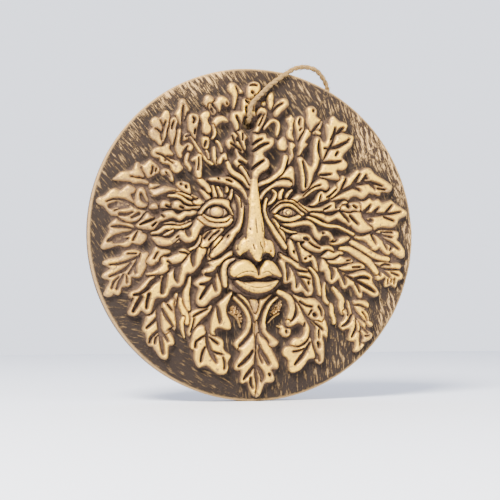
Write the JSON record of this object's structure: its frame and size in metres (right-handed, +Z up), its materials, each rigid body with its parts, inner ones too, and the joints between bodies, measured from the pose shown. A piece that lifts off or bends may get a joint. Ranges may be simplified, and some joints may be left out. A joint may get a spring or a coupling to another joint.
{
  "type": "green man wall plaque",
  "caption": "Round cast wall plaque with a foliate green man face of oak leaves in relief, a hanging hole near its top and a knotted jute twine loop.",
  "frame": {"origin": "centre of the plaque's flat back, which lies against the wall", "axes": "+Y points into the wall and -Y out of the relief, +Z is up along the face, and +X is to the right as the relief is seen"},
  "size_m": [0.2, 0.0334, 0.2046],
  "materials": {
    "bronzed_terracotta": "satin",
    "jute": "matte"
  },
  "bodies": {
    "root": {"plaque": "bronzed_terracotta", "hanging_twine": "jute", "twine_knot": "jute"}
  },
  "joints": []
}
